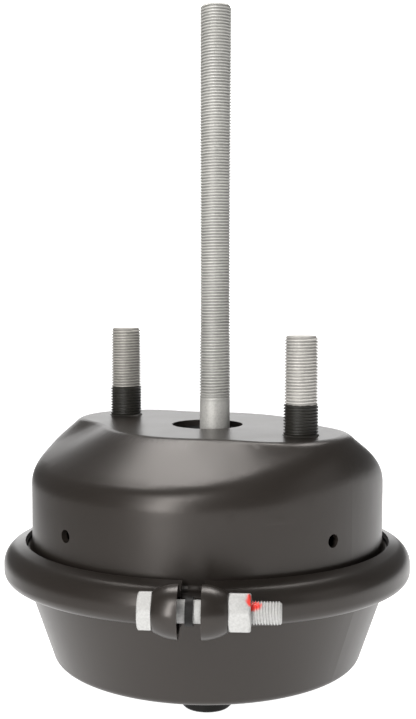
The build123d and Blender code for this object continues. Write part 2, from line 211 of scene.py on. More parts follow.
def helical_thread(bottom, top, crest, depth, pitch, foot, fade, chamfer, around=bar_sides, coat=None):
    """A thread between two heights.

    Point (i, j) has the angle 2 pi i / around and the height pitch (i / around + share j), held
    between bottom and top. Its radius is the crest's less the depth times cut j. Over the fade
    above the bottom the radius runs into the foot radius, and a 45 degree cone cuts the top.
    A coat, given as (top, thickness, flare), adds its thickness up to its top, and a fillet at
    the foot that adds the flare times the square of what is left of its height.
    """
    turns = int(math.ceil((top - bottom) / pitch)) + 2
    step = np.arange(turns * around + 1)[:, None]
    height = np.clip(bottom - pitch + pitch * (step / around + turn_shares), bottom, top)
    radius = crest - depth * turn_cuts + 0 * step
    ease = np.clip((height - bottom) / max(fade, 1e-9), 0, 1)
    radius = foot + (radius - foot) * ease
    radius = np.minimum(radius, crest - chamfer + (top - height))
    groove = np.clip((crest - radius) / depth, 0, 1)
    if coat:
        coat_top, thickness, flare = coat
        radius = radius + thickness * np.clip((coat_top - height) / coat_edge, 0, 1)
        radius = radius + flare * np.clip(1 - height / fillet_height, 0, 1) ** 2
    angle = 2 * np.pi * step / around
    points = np.stack([radius * np.cos(angle), radius * np.sin(angle), height], axis=-1)
    number = np.arange(step.size * 4).reshape(-1, 4)
    inner = np.stack([number[:-1, :-1], number[1:, :-1], number[1:, 1:], number[:-1, 1:]], axis=-1)
    joins = np.stack(
        [number[: -around - 1, 3], number[1:-around, 3], number[around + 1 :, 0], number[around:-1, 0]],
        axis=-1,
    )
    return points.reshape(-1, 3), np.concatenate([inner.reshape(-1, 4), joins]), groove.ravel()


def threaded_bar(name, below, bottom, top, crest, depth, pitch, fade, place, coat=None):
    """A turned lower part, given as (radius, height) points, with a thread above it and a flat tip."""
    foot = below[-1][0]
    thread_points, thread_faces, groove = helical_thread(
        bottom, top, crest, depth, pitch, foot, fade, thread_chamfer, coat=coat
    )
    tip = turned([(crest - thread_chamfer, top), (0.4 * crest, top), (0.0, top)], bar_sides)
    points, faces = stacked((thread_points, thread_faces), turned(below, bar_sides), tip)
    groove = np.concatenate([groove, np.zeros(len(points) - len(groove))])
    coat_top = coat[0] if coat else 0.0
    above_coat = (points[:, 2] - coat_top) / MM
    values = {"groove": groove, "above_coat": above_coat}
    return piece_from(name, points + np.array(place), faces, values, sharp=50)


# %% [markdown]
# The push rod is a plain shank to just above the face, then threaded to its tip. Its lower end
# is a thinner tenon that sits in the push plate.

# %% Push rod
collar_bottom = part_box("rod_collar")[0].z
tenon_radius = 6.0 * MM
last_ring_gap = 3 * MM
rod_thread_fade = 5 * MM
rod_below = [
    (0.0, rod_bottom),
    (tenon_radius, rod_bottom),
    (tenon_radius, collar_bottom),
    (rod_shank_radius, collar_bottom),
    (rod_shank_radius, rod_thread_start - last_ring_gap),
    (rod_shank_radius, rod_thread_start),
]
push_rod = threaded_bar(
    "push_rod_threaded", rod_below, rod_thread_start, rod_top, rod_radius, thread_depth, thread_pitch,
    rod_thread_fade, (rod_x, rod_y, 0.0),
)
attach(push_rod, "push_rod_and_plate")
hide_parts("push_rod")
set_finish(push_rod, "zinc_stud")

# %% [markdown]
# The photograph shows the foot of each stud black, so the studs probably stood in the shell when it
# was painted, with caps on the rest of their thread. The lowest turns carry a coat of paint, thick
# enough to see in the outline, with a small fillet of paint where the stud meets the face.

# %% Studs
coat_tops = {"mounting_stud_left": 16.1 * MM, "mounting_stud_right": 15.3 * MM}
coat_thickness = 0.42 * MM
coat_flare = 0.9 * MM
stud_head_bevel = 1 * MM
stud_head_top = -7.0 * MM
stud_shank_radius = 8.5 * MM
stud_foot_radius = stud_radius - 0.3 * MM
stud_thread_fade = 0.8 * MM
studs = []
for side, node in ((-1, "mounting_stud_left"), (1, "mounting_stud_right")):
    low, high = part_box(node)
    head_radius = (high.x - low.x) / 2
    stud_below = [
        (0.0, low.z),
        (head_radius - stud_head_bevel, low.z),
        (head_radius, low.z + stud_head_bevel),
        (head_radius, stud_head_top),
        (stud_shank_radius, stud_head_top),
        (stud_shank_radius, 0.0),
        (stud_foot_radius, 0.0),
    ]
    stud = threaded_bar(
        node + "_threaded", stud_below, 0.0, high.z, stud_radius, thread_depth, thread_pitch,
        stud_thread_fade, (side * stud_x, 0.0, 0.0),
        coat=(coat_tops[node], coat_thickness, coat_flare),
    )
    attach(stud, "chamber")
    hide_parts(node)
    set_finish(stud, "zinc_stud")
    studs.append(stud)

# %% [markdown]
# The clamp bolt lies across the split of the band. Its line is level and turned by the same
# angle as the split, and the black retaining ring around it gives its place. Its head and its nut
# are hexagons whose ends a chamfer has cut round, which shows as an arc on each flat.

# %% Place of the bolt
gap_angle = math.radians(-52.2)
outward = np.array([math.cos(gap_angle), math.sin(gap_angle), 0.0])
along = np.array([-math.sin(gap_angle), math.cos(gap_angle), 0.0])
retainer_middle = middle_and_reach("bolt_retainer")[0]
bolt_radius = 5.0 * MM
bolt_height = retainer_middle.z
bolt_reach = float(np.dot(outward, np.array(retainer_middle)))
ear_end = 16.2 * MM
bolt_head_height = 6.1 * MM
nut_height = 9.5 * MM
hex_flats = 16.0 * MM
spanner_turn = math.radians(15)
bolt_past_nut = 13.1 * MM
bolt_tip = ear_end + nut_height + bolt_past_nut
bolt_turn = np.stack([outward, np.cross(along, outward), along], axis=1)
bolt_origin = outward * bolt_reach + np.array([0.0, 0.0, bolt_height])
print("bolt line", round(bolt_reach / MM, 1), "mm out and", round(bolt_height / MM, 1), "mm high")

# %% Hexagon bar
corner_power = 30
chamfer_slope = math.tan(math.radians(30))
chamfer_circle = 0.475
edge_inset = 0.12 * MM
hex_sides = 96


def hexagon_shell(start, end, flats, bore, turn, cone_start, cone_end, around=hex_sides):
    """A hexagon bar with rounded corners and chamfer cones, as rings from one bore edge to the other.

    The reach at an angle is flats / 2 over the p-norm of the cosines to the six flats, where p is
    the corner power. A ring's height is pulled back by the chamfer's slope times what its reach
    is past the chamfer's circle, whose radius is a share of the width across the flats.
    The whole shape is turned about its axis, as a spanner happened to leave it.
    """
    angle = np.linspace(0, 2 * np.pi, around, endpoint=False)
    flat_angles = np.pi / 6 + np.arange(6) * np.pi / 3
    facing = np.maximum(np.cos(angle[:, None] - flat_angles[None, :]), 0)
    reach = flats / 2 / (facing ** corner_power).sum(axis=1) ** (1 / corner_power)
    free = chamfer_circle * flats
    midway = 0.6 * free + 0.4 * bore
    drop = np.maximum(reach - free, 0) * chamfer_slope
    rings = []
    for radius, height in ((bore, start), (midway, start), (free, start)):
        rings.append(np.stack([radius + 0 * angle, height + 0 * angle], axis=-1))
    lower = start + (drop if cone_start else 0 * drop)
    upper = end - (drop if cone_end else 0 * drop)
    for share in (0.0, 0.02, 0.98, 1.0):
        inset = edge_inset if share in (0.0, 1.0) else 0.0
        rings.append(np.stack([reach - inset, lower + (upper - lower) * share], axis=-1))
    for radius, height in ((free, end), (midway, end), (bore, end)):
        rings.append(np.stack([radius + 0 * angle, height + 0 * angle], axis=-1))
    rings = np.stack(rings)
    turned_angle = angle + turn
    across, rise = rings[..., 0], rings[..., 1]
    points = np.stack([across * np.cos(turned_angle), across * np.sin(turned_angle), rise], axis=-1)
    return points, grid_faces(len(rings), around, wrap_columns=True)


# %% Clamp bolt
bolt_thread_start = 4.0 * MM
bolt_thread_depth = 0.55 * MM
bolt_thread_pitch = 1.25 * MM
bolt_thread_fade = 2 * MM
bolt_chamfer = 1.0 * MM
tip_ring = 2 * MM
head = hexagon_shell(-ear_end - bolt_head_height, -ear_end, hex_flats, 0.0, -spanner_turn, True, False)
shank = turned([(0.0, -ear_end), (bolt_radius, -ear_end), (bolt_radius, bolt_thread_start)], bar_sides)
thread_points, thread_faces, bolt_groove = helical_thread(
    bolt_thread_start, bolt_tip, bolt_radius, bolt_thread_depth, bolt_thread_pitch, bolt_radius,
    bolt_thread_fade, bolt_chamfer,
)
tip = turned([(bolt_radius - bolt_chamfer, bolt_tip), (tip_ring, bolt_tip), (0.0, bolt_tip)], bar_sides)
points, faces = stacked((thread_points, thread_faces), head, shank, tip)
bolt_groove = np.concatenate([bolt_groove, np.zeros(len(points) - len(bolt_groove))])
clamp_bolt = piece_from(
    "clamp_bolt_threaded", points @ bolt_turn.T + bolt_origin, faces, {"groove": bolt_groove}, sharp=35
)
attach(clamp_bolt, "chamber")
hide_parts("clamp_bolt")
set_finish(clamp_bolt, "zinc_fastener")

# %% Clamp nut
nut_bore = bolt_radius + 0.05 * MM
nut = hexagon_shell(ear_end, ear_end + nut_height, hex_flats, nut_bore, -spanner_turn, True, True)
bore_wall = turned([(nut_bore, ear_end + nut_height), (nut_bore, ear_end)], hex_sides)
points, faces = stacked(nut, bore_wall)
clamp_nut = piece_from("clamp_nut_cut", points @ bolt_turn.T + bolt_origin, faces, sharp=35)
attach(clamp_nut, "chamber")
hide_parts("clamp_nut")
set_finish(clamp_nut, "zinc_fastener")

# %% [markdown]
# The return spring is a round wire wound on a cone, with a flat turn at each end. On the real
# part it shortens as the rod comes out.

# %% Return spring
spring_low, spring_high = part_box("return_spring")
wire_radius = 2.75 * MM
spring_turns = 6
spring_top_radius = 35.0 * MM
spring_bottom_radius = (spring_high.x - spring_low.x) / 2 - wire_radius
flat_turns = 0.75
ease_turns = 0.5


def coil_rise(turns):
    """Share of the height reached: a parabola out of the flat turn, a line, a parabola back."""
    active = spring_turns - 2 * flat_turns
    run = np.clip(turns - flat_turns, 0, active)
    up = run ** 2 / (2 * ease_turns)
    line = run - ease_turns / 2
    down = active - ease_turns - (active - run) ** 2 / (2 * ease_turns)
    risen = np.where(run < ease_turns, up, np.where(run < active - ease_turns, line, down))
    return risen / (active - ease_turns)


steps_per_turn, wire_sides = 64, 16
turns = np.arange(spring_turns * steps_per_turn + 1) / steps_per_turn
rise = coil_rise(turns)
coil_angle = 2 * np.pi * turns
coil_radius = spring_bottom_radius + (spring_top_radius - spring_bottom_radius) * rise
coil_low = spring_low.z + wire_radius
coil_high = spring_high.z - wire_radius
centre = np.stack(
    [
        rod_x * (1 - rise) + coil_radius * np.cos(coil_angle),
        rod_y * (1 - rise) + coil_radius * np.sin(coil_angle),
        coil_low + (coil_high - coil_low) * rise,
    ],
    axis=-1,
)
ahead = np.gradient(centre, axis=0)
ahead /= np.linalg.norm(ahead, axis=1, keepdims=True)
outwards = np.stack([np.cos(coil_angle), np.sin(coil_angle), 0 * coil_angle], axis=-1)
across = np.cross(ahead, outwards)
across /= np.linalg.norm(across, axis=1, keepdims=True)
around_wire = np.linspace(0, 2 * np.pi, wire_sides, endpoint=False)[None, :, None]
wire = centre[:, None] + wire_radius * (
    np.cos(around_wire) * outwards[:, None] + np.sin(around_wire) * across[:, None]
)
ends = np.stack([centre[:1].repeat(wire_sides, 0), centre[-1:].repeat(wire_sides, 0)])
wire = np.concatenate([ends[:1], wire, ends[1:]])
spring = piece_from(
    "return_spring_wire", wire, grid_faces(len(wire), wire_sides, wrap_columns=True), sharp=60
)
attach(spring, "chamber")
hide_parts("return_spring")
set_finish(spring, "spring_steel")
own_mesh(spring)

# %% [markdown]
# The diaphragm is a rubber cup. Its thick bead is held between the flanges and its floor lies
# under the push plate. On the real part the side rolls over as the plate rises.

# %% Diaphragm
cup_low, cup_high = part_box("diaphragm")
cup_sheet = 3.2 * MM
bead_thickness = 6.8 * MM
cup_side_angle = math.radians(18.7)
cup_side_slope = math.tan(cup_side_angle)
cup_floor_radius = 75.5 * MM
bead_bottom = cup_high.z - bead_thickness
cup_neck_radius = cup_floor_radius + (bead_bottom - cup_low.z) * cup_side_slope
cup_sheet_across = cup_sheet / math.cos(cup_side_angle)
cup_rings, cup_sides = 260, 160
cup_profile = rounded(
    [
        (0.0, cup_low.z),
        (cup_floor_radius, cup_low.z),
        (cup_neck_radius, bead_bottom),
        (cup_high.x, bead_bottom),
        (cup_high.x, cup_high.z),
        (cup_neck_radius - cup_sheet_across + bead_thickness * cup_side_slope, cup_high.z),
        (cup_floor_radius - cup_sheet_across + cup_sheet * cup_side_slope, cup_low.z + cup_sheet),
        (0.0, cup_low.z + cup_sheet),
    ],
    {1: 12 * MM, 2: 6 * MM, 3: 1.2 * MM, 4: 1.2 * MM, 5: 2 * MM, 6: 9 * MM},
)
along_cup = np.concatenate([[0], np.cumsum(np.linalg.norm(np.diff(cup_profile, axis=0), axis=1))])
even = np.linspace(0, along_cup[-1], cup_rings)
cup_profile = np.stack([np.interp(even, along_cup, cup_profile[:, k]) for k in (0, 1)], axis=-1)
cup_points, cup_faces = turned(cup_profile, cup_sides)
diaphragm = piece_from("diaphragm_cup", cup_points, cup_faces, sharp=60)
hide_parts("diaphragm")
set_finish(diaphragm, "diaphragm_rubber")
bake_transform(diaphragm)

# %% [markdown]
# The band is rolled from strip, so its upper corner is one wide bend, and each end is pressed
# out into a bell that takes the bolt. The solid has the same channel with plain legs. Here the
# profile is rounder and fuller, and each bell is a closed shell that reaches into the ring.
# A lean of one degree, higher on the bolt's side, fits the ring's edges in the photograph best,
# so the ring is sheared by that much. Why it leans there isn't known.

# %% Clamp band ring
band_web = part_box("clamp_band")[1].x
band_middle = (cup_high.z + bead_bottom) / 2
band_depth = 10.85 * MM
band_sheet = 2.2 * MM
gap_half = 5.1 * MM
low_lip_set_in = 1.6 * MM
top_lip, top_corner = band_middle + 10.1 * MM, band_middle + 6.2 * MM
low_corner, low_lip = band_middle - 8.0 * MM, band_middle - 10.0 * MM
top_bend, low_bend = 10.0 * MM, 5.0 * MM
band_tilt = math.radians(1.0)
band_steps = 360
band_outside = rounded(
    [
        (band_web - band_depth, top_lip),
        (band_web, top_corner),
        (band_web, low_corner),
        (band_web - band_depth + low_lip_set_in, low_lip),
    ],
    {1: top_bend, 2: low_bend},
    steps=14,
)


def set_in(path, distance, closed=False):
    """A path moved to its right by a distance, along the normal of the chord between its neighbours."""
    if closed:
        chord = np.roll(path, -1, axis=0) - np.roll(path, 1, axis=0)
    else:
        chord = np.gradient(path, axis=0)
    chord /= np.linalg.norm(chord, axis=1, keepdims=True)
    return path + distance * np.stack([chord[:, 1], -chord[:, 0]], axis=-1)


band_inside = set_in(band_outside, band_sheet)
band_loop = np.concatenate([band_outside, band_inside[::-1]])
cut = np.arcsin(gap_half / band_loop[:, 0])[:, None]
sweep = np.linspace(0, 1, band_steps + 1)[None, :]
band_angle = gap_angle + cut + sweep * (2 * np.pi - 2 * cut)
band_points = np.stack(
    [
        band_loop[:, :1] * np.cos(band_angle),
        band_loop[:, :1] * np.sin(band_angle),
        band_loop[:, 1:] + 0 * band_angle,
    ],
    axis=-1,
)
band_points[..., 2] += math.tan(band_tilt) * (band_points[..., :2] @ outward[:2])
band_faces = grid_faces(len(band_loop), band_steps + 1, wrap_rows=True)
outer_row = np.arange(len(band_outside) - 1)
opposite_row = len(band_loop) - 1 - outer_row
end_corners = np.stack([outer_row, outer_row + 1, opposite_row - 1, opposite_row], axis=-1)
end_faces = end_corners * (band_steps + 1)
ring_part = (band_points, np.concatenate([band_faces, end_faces, end_faces + band_steps]))

# %% Outline of a bell
ear_mouth_radius = 11.9 * MM
ear_end_radius = 8.6 * MM
bell_into_band = 4 * MM
bell_rise, bell_drop = 7.8 * MM, 5.8 * MM
bell_back = band_web - bell_into_band - bolt_reach
bell_back_top = band_middle + bell_rise - bolt_height
bell_back_low = band_middle - bell_drop - bolt_height
arc_points, line_points = 28, 8


def bell_loop(radius):
    """Outline about the bolt: a half circle on the outside and straight lines back into the band."""
    turn = np.linspace(np.pi / 2, -np.pi / 2, arc_points)
    half_circle = radius * np.stack([np.cos(turn), np.sin(turn)], axis=-1)
    back_low = np.array([bell_back, bell_back_low])
    back_top = np.array([bell_back, bell_back_top])
    share = np.linspace(0, 1, line_points, endpoint=False)[:, None]
    low_line = half_circle[-1] + share[1:] * (back_low - half_circle[-1])
    back_line = back_low + share * (back_top - back_low)
    top_line = back_top + share * (half_circle[0] - back_top)
    return np.concatenate([half_circle, low_line, back_line, top_line])


# %% Clamp band bells
bolt_hole = 5.3 * MM
bevel_length, bevel_depth = 0.5 * MM, 0.4 * MM
bell_steps = 11


def bell(side):
    """A hollow bell from the gap to its end wall, as loops: outside, end wall, bolt hole, inside.

    Its radius about the bolt falls from the mouth's to the end's with the square of the distance
    from the gap, and the last loop is set in as a bevel.
    """
    reach = ear_end - gap_half
    stations = np.concatenate([np.linspace(0, 1 - bevel_length / reach, bell_steps), [1.0]])
    radii = ear_mouth_radius + (ear_end_radius - ear_mouth_radius) * stations ** 2
    radii[-1] -= bevel_depth
    loops = [(bell_loop(radius), gap_half + reach * share) for radius, share in zip(radii, stations)]
    outline = bell_loop(ear_end_radius)
    hole = bolt_hole * outline / np.linalg.norm(outline, axis=1, keepdims=True)
    loops += [(hole, ear_end), (hole, ear_end - band_sheet)]
    inner_reach = reach - band_sheet
    for radius, share in zip(radii[::-1], stations[::-1]):
        loops.append((set_in(bell_loop(radius), band_sheet, closed=True), gap_half + inner_reach * share))
    flat = np.stack([loop for loop, _ in loops])
    distance = np.array([place for _, place in loops])[:, None]
    place = side * distance[..., None] * along + flat[..., :1] * outward
    place = place + flat[..., 1:] * np.array([0.0, 0.0, 1.0]) + bolt_origin
    return place, grid_faces(len(loops), flat.shape[1], wrap_rows=True, wrap_columns=True)


points, faces = stacked(ring_part, bell(-1), bell(1))
clamp_band = piece_from("clamp_band_rolled", points, faces, sharp=45)
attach(clamp_band, "chamber")
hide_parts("clamp_band")
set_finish(clamp_band, "band_paint")

# %% [markdown]
# Finishes. Three effects come back in several of them, so each is a node group that is built
# once: a fine skin of bumps with slow colour drift, wear that lightens edges, and painted shade
# that darkens the grooves of a thread. The groups put out only colours, roughness and normals that
# change over the surface, and the shader itself stays in each material. A noise's scale is about
# its number of waves in a metre.

# %% Node group helpers


def new_group(name, inputs, outputs):
    """An empty shader node group with named sockets; returns it with its input and output nodes."""
    group = bpy.data.node_groups.new(name, "ShaderNodeTree")
    kinds = {"color": "NodeSocketColor", "value": "NodeSocketFloat", "vector": "NodeSocketVector"}
    for title, kind, default in inputs:
        socket = group.interface.new_socket(name=title, in_out="INPUT", socket_type=kinds[kind])
        if default is not None:
            socket.default_value = default
    for title, kind in outputs:
        group.interface.new_socket(name=title, in_out="OUTPUT", socket_type=kinds[kind])
    return group, group.nodes.new("NodeGroupInput"), group.nodes.new("NodeGroupOutput")


def add(tree, kind, settings=None, **inputs):
    """A node with its settings and its input values or links, by input name or number."""
    node = tree.nodes.new("ShaderNode" + kind)
    for title, value in (settings or {}).items():
        setattr(node, title, value)
    for title, value in inputs.items():
        key = int(title[1:]) if title[0] == "_" and title[1:].isdigit() else title.replace("_", " ")
        if isinstance(value, bpy.types.NodeSocket):
            tree.links.new(value, node.inputs[key])
        else:
            node.inputs[key].default_value = value
    return node


# %% Effect: fine skin
drift_waves = 28.0
skin_group, skin_in, skin_out = new_group(
    "fine_skin",
    [("Colour", "color", (0.5, 0.5, 0.5, 1)), ("Drift", "value", 0.1), ("Roughness", "value", 0.4),
     ("Roughness drift", "value", 0.05), ("Grain size", "value", 0.001), ("Grain depth", "value", 0.1),
     ("Mottle", "value", 0.1)],
    [("Colour", "color"), ("Roughness", "value"), ("Normal", "vector")],
)
coordinates = add(skin_group, "TexCoord").outputs["Object"]
slow = add(skin_group, "TexNoise", Vector=coordinates, Scale=drift_waves, Detail=3.0, Roughness=0.6)
grain_scale = add(skin_group, "Math", {"operation": "DIVIDE"}, _0=1.0, _1=skin_in.outputs["Grain size"])
grain = add(skin_group, "TexNoise", Vector=coordinates, Scale=grain_scale.outputs[0], Detail=2.0)
centred = add(skin_group, "Math", {"operation": "SUBTRACT"}, _0=slow.outputs[0], _1=0.5)
grain_centred = add(skin_group, "Math", {"operation": "SUBTRACT"}, _0=grain.outputs[0], _1=0.5)
mottled = add(skin_group, "Math", {"operation": "MULTIPLY_ADD"}, _0=grain_centred.outputs[0],
              _1=skin_in.outputs["Mottle"], _2=1.0)
drift = add(skin_group, "Math", {"operation": "MULTIPLY_ADD"}, _0=centred.outputs[0],
            _1=skin_in.outputs["Drift"], _2=mottled.outputs[0])
tinted = add(skin_group, "VectorMath", {"operation": "SCALE"}, _0=skin_in.outputs["Colour"],
             Scale=drift.outputs[0])
skin_group.links.new(tinted.outputs[0], skin_out.inputs["Colour"])
rough = add(skin_group, "Math", {"operation": "MULTIPLY_ADD"}, _0=centred.outputs[0],
            _1=skin_in.outputs["Roughness drift"], _2=skin_in.outputs["Roughness"])
skin_group.links.new(rough.outputs[0], skin_out.inputs["Roughness"])
bump = add(skin_group, "Bump", Height=grain.outputs[0], Strength=skin_in.outputs["Grain depth"],
           Distance=0.2 * MM)
skin_group.links.new(bump.outputs[0], skin_out.inputs["Normal"])

# %% Effect: worn edges
patch_waves = 420.0
edge_starts, edge_full = 0.995, 0.85
patch_starts, patch_full = 0.42, 0.62
wear_group, wear_in, wear_out = new_group(
    "worn_edges",
    [("Colour", "color", (0.5, 0.5, 0.5, 1)), ("Edge colour", "color", (0.6, 0.6, 0.6, 1)),
     ("Amount", "value", 0.3), ("Width", "value", 0.0008)],
    [("Colour", "color")],
)
soft_edge = add(wear_group, "Bevel", {"samples": 4}, Radius=wear_in.outputs["Width"])
flat = add(wear_group, "NewGeometry")
agree = add(wear_group, "VectorMath", {"operation": "DOT_PRODUCT"}, _0=soft_edge.outputs[0],
            _1=flat.outputs["Normal"])
edge = add(wear_group, "MapRange", Value=agree.outputs["Value"])
edge.inputs["From Min"].default_value = edge_starts
edge.inputs["From Max"].default_value = edge_full
patchy = add(wear_group, "TexNoise", Vector=add(wear_group, "TexCoord").outputs["Object"],
             Scale=patch_waves, Detail=3.0)
patch = add(wear_group, "MapRange", Value=patchy.outputs[0])
patch.inputs["From Min"].default_value = patch_starts
patch.inputs["From Max"].default_value = patch_full
worn = add(wear_group, "Math", {"operation": "MULTIPLY"}, _0=edge.outputs[0], _1=patch.outputs[0])
amount = add(wear_group, "Math", {"operation": "MULTIPLY"}, _0=worn.outputs[0], _1=wear_in.outputs["Amount"])
mixed = add(wear_group, "Mix", {"data_type": "RGBA"}, _0=amount.outputs[0])
wear_group.links.new(wear_in.outputs["Colour"], mixed.inputs[6])
wear_group.links.new(wear_in.outputs["Edge colour"], mixed.inputs[7])
wear_group.links.new(mixed.outputs[2], wear_out.inputs["Colour"])

# %% Effect: painted shade in the grooves
groove_group, groove_in, groove_out = new_group(
    "painted_groove_shade",
    [("Colour", "color", (0.5, 0.5, 0.5, 1)), ("Dirt", "value", 0.5)],
    [("Colour", "color")],
)
depth = add(groove_group, "Attribute", {"attribute_name": "groove"})
# Painted shade: the colour gets darker as the thread's groove gets deeper.
share = add(groove_group, "Math", {"operation": "MULTIPLY"}, _0=depth.outputs["Fac"],
            _1=groove_in.outputs["Dirt"])
keep = add(groove_group, "Math", {"operation": "SUBTRACT"}, _0=1.0, _1=share.outputs[0])
darker = add(groove_group, "VectorMath", {"operation": "SCALE"}, _0=groove_in.outputs["Colour"],
             Scale=keep.outputs[0])
groove_group.links.new(darker.outputs[0], groove_out.inputs["Colour"])

# %% [markdown]
# Each material places the groups with its own values and links them into one Principled shader.
# The black paint is satin and its gloss is a little warm. The zinc is dull, so it is only partly
# metallic, with a strong slow drift and mottle as handled plating has.

# %% Recipe for a finish


def use(tree, group, **inputs):
    """A group placed in a tree, with its values or links by socket name."""
    node = tree.nodes.new("ShaderNodeGroup")
    node.node_tree = group
    for title, value in inputs.items():
        key = title.replace("_", " ")
        if isinstance(value, bpy.types.NodeSocket):
            tree.links.new(value, node.inputs[key])
        else:
            node.inputs[key].default_value = value
    return node


def finish_of(name, colour, roughness, grain, depth, metallic=0.0, drift=0.15, edge=None, amount=0.0,
              groove_shade=0.0, gloss_tint=(1.0, 1.0, 1.0), mottle=0.1, gloss=0.5):
    """A material of one Principled shader with skin, edge wear and painted shade in thread grooves."""
    material = bpy.data.materials.new(name)
    material.use_nodes = True
    tree = material.node_tree
    shader = tree.nodes["Principled BSDF"]
    skin = use(tree, skin_group, Colour=(*colour, 1), Drift=drift, Roughness=roughness,
               Roughness_drift=0.08, Grain_size=grain, Grain_depth=depth, Mottle=mottle)
    last = skin.outputs["Colour"]
    # Painted shade in the grooves of a thread, darker where the groove is deeper.
    if groove_shade:
        last = use(tree, groove_group, Colour=last, Dirt=groove_shade).outputs["Colour"]
    if edge:
        last = use(tree, wear_group, Colour=last, Edge_colour=(*edge, 1), Amount=amount).outputs["Colour"]
    tree.links.new(last, shader.inputs["Base Color"])
    tree.links.new(skin.outputs["Roughness"], shader.inputs["Roughness"])
    tree.links.new(skin.outputs["Normal"], shader.inputs["Normal"])
    shader.inputs["Metallic"].default_value = metallic
    shader.inputs["Specular Tint"].default_value = (*gloss_tint, 1)
    shader.inputs["Specular IOR Level"].default_value = gloss
    return material


# %% Finishes
black_paint = {
    "colour": (0.0180, 0.0148, 0.0125), "grain": 0.0016, "depth": 0.04, "edge": (0.10, 0.09, 0.08),
    "amount": 0.4, "gloss_tint": (1.0, 0.95, 0.915),
}
housing_paint = finish_of("satin_housing_paint", roughness=0.34, **black_paint)
band_paint = finish_of("satin_band_paint", roughness=0.30, **black_paint)
zinc_stud = finish_of(
    "dull_zinc", (0.55, 0.545, 0.52), 0.56, 0.0007, 0.35, metallic=0.35, drift=0.5, groove_shade=0.4, mottle=0.5,
)
pale_zinc = {
    "colour": (0.48, 0.48, 0.47), "roughness": 0.55, "grain": 0.0009, "depth": 0.3, "metallic": 0.1,
    "drift": 0.35, "groove_shade": 0.05, "mottle": 0.45,
}
zinc_fastener = finish_of("pale_zinc", **pale_zinc)
bare_steel = finish_of("rolled_steel", (0.10, 0.10, 0.10), 0.45, 0.0012, 0.3, metallic=0.6, drift=0.4)
spring_steel = finish_of("coated_wire", (0.022, 0.022, 0.024), 0.42, 0.0010, 0.25, drift=0.4)
diaphragm_rubber = finish_of("cloth_rubber", (0.018, 0.018, 0.018), 0.7, 0.0011, 0.8, drift=0.4)
seal_rubber = finish_of("plain_rubber", (0.018, 0.018, 0.018), 0.6, 0.0008, 0.4, drift=0.3)
black_plastic = finish_of(
    "moulded_black", (0.006, 0.0055, 0.005), 0.5, 0.0007, 0.35, drift=0.3, gloss=0.22
)

# %% [markdown]
# Two finishes lie over another one. The foot of each stud is under black paint with an uneven
# upper edge, and a dab of red marking paint lies on the bolt's thread beside the nut. Each is a
# mask from a distance in millimetres, made uneven by a noise, that mixes the colour, the
# roughness and the metal.

# %% Paint over metal
ragged_waves = 330.0


def paint_over(material, distance, unevenness, softness, colour, roughness):
    """Paint where the distance, a socket in mm, is under a noise that swings about zero.

    The noise reaches up to the unevenness either way, and the edge fades over twice the softness,
    both in mm.
    """
    tree = material.node_tree
    shader = tree.nodes["Principled BSDF"]
    place = add(tree, "TexCoord").outputs["Object"]
    ragged = add(tree, "TexNoise", Vector=place, Scale=ragged_waves, Detail=2.0)
    moved = add(tree, "Math", {"operation": "MULTIPLY_ADD"}, _0=ragged.outputs[0], _1=-2 * unevenness,
                _2=distance)
    mask = add(tree, "MapRange", Value=moved.outputs[0])
    mask.inputs["From Min"].default_value = softness - unevenness
    mask.inputs["From Max"].default_value = -softness - unevenness
    bare = shader.inputs["Base Color"].links[0].from_socket
    tinted = add(tree, "Mix", {"data_type": "RGBA"}, _0=mask.outputs[0])
    tree.links.new(bare, tinted.inputs[6])
    tinted.inputs[7].default_value = (*colour, 1)
    tree.links.new(tinted.outputs[2], shader.inputs["Base Color"])
    bare_rough = shader.inputs["Roughness"].links[0].from_socket
    rough = add(tree, "Mix", _0=mask.outputs[0], _2=bare_rough, _3=roughness)
    tree.links.new(rough.outputs[0], shader.inputs["Roughness"])
    metal = add(tree, "Mix", _0=mask.outputs[0], _2=shader.inputs["Metallic"].default_value, _3=0.0)
    tree.links.new(metal.outputs[0], shader.inputs["Metallic"])
    return material


def painted_stud(name, colour):
    """Dull zinc with black paint over its foot, below the mesh's attribute above_coat."""
    material = finish_of(
        name, colour, 0.54, 0.0007, 0.35, metallic=0.35, drift=0.6, groove_shade=0.4, mottle=0.6
    )
    above_coat = add(material.node_tree, "Attribute", {"attribute_name": "above_coat"})
    return paint_over(
        material, above_coat.outputs["Fac"], unevenness=0.5, softness=0.12,
        colour=(0.020, 0.0185, 0.015), roughness=0.50,
    )


# The left stud gets a darker copy of the same zinc than the right one: painted shade that makes it look less
# lit.
stud_finishes = [
    painted_stud("shaded_copy_zinc_painted_foot", (0.45, 0.435, 0.405)),
    painted_stud("dull_zinc_painted_foot", (0.60, 0.585, 0.555)),
]

# %% Red dab on the bolt
bolt_finish = finish_of("zinc_with_red_dab", **pale_zinc)
dab_along, dab_outward, dab_up = 26.9, 3.4, 5.6
dab_radius = 3.6
dab_place = bolt_origin + along * dab_along * MM + outward * dab_outward * MM
dab_place[2] += dab_up * MM
bolt_place = add(bolt_finish.node_tree, "TexCoord").outputs["Object"]
from_dab = add(bolt_finish.node_tree, "VectorMath", {"operation": "DISTANCE"}, _0=bolt_place,
               _1=tuple(dab_place))
dab_distance = add(bolt_finish.node_tree, "Math", {"operation": "MULTIPLY_ADD"},
                   _0=from_dab.outputs["Value"], _1=1 / MM, _2=-dab_radius)
paint_over(
    bolt_finish, dab_distance.outputs[0], unevenness=1.2, softness=0.45,
    colour=(0.74, 0.055, 0.04), roughness=0.35,
)

